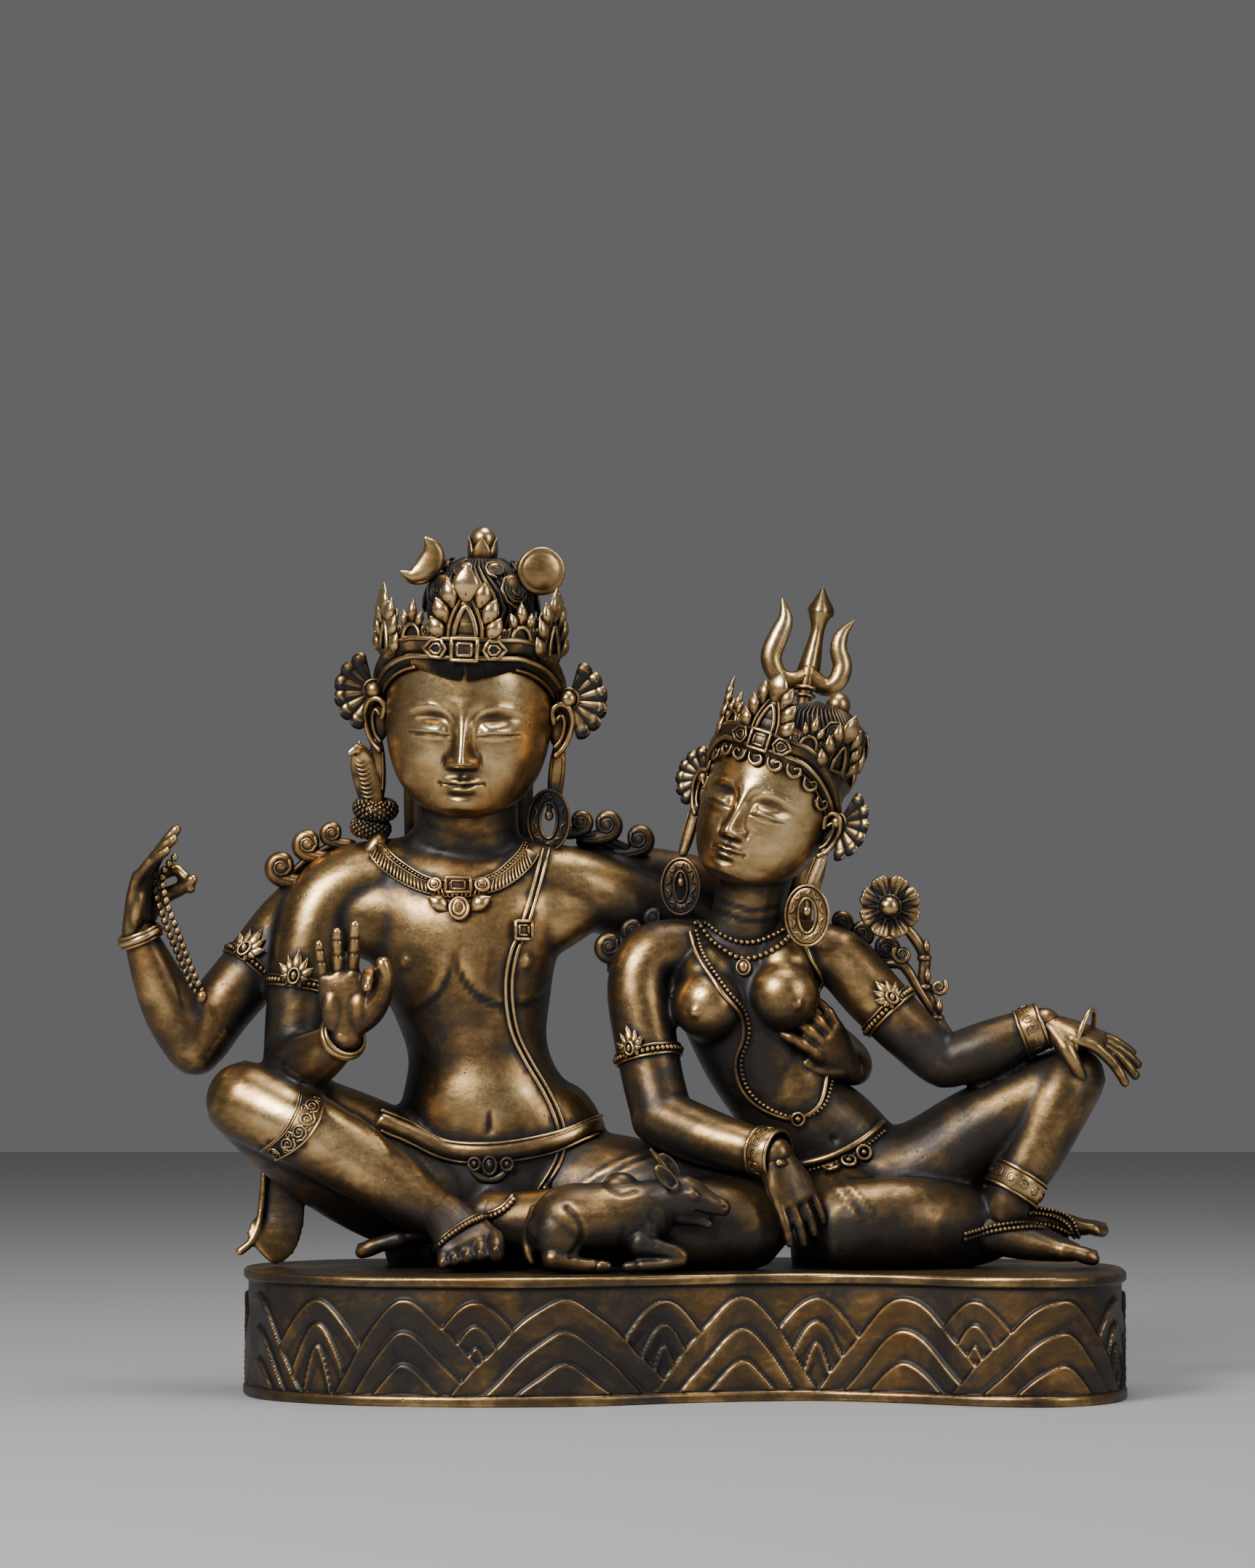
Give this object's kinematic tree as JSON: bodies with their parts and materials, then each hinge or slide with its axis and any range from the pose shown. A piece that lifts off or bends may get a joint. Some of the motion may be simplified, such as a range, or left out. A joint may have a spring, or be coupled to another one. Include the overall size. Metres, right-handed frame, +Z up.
{
  "type": "deity group statue",
  "caption": "Cast bronze temple group: a seated four-armed god and a reclining goddess on a bean-shaped plinth carved with mountains, with a small kneeling bull.",
  "frame": {"origin": "centre of the plinth's flat underside", "axes": "+X towards the reclining figure along the plinth's length, +Z up, the front faces -Y"},
  "size_m": [0.5303, 0.1964, 0.4492],
  "materials": {
    "bronze": "cast bronze with a dark brown patina, rubbed to a warm gold on the raised parts"
  },
  "bodies": {
    "root": {"plinth": "bronze", "shiva": "bronze", "parvati": "bronze", "bull": "bronze", "trident": "bronze"}
  },
  "joints": []
}
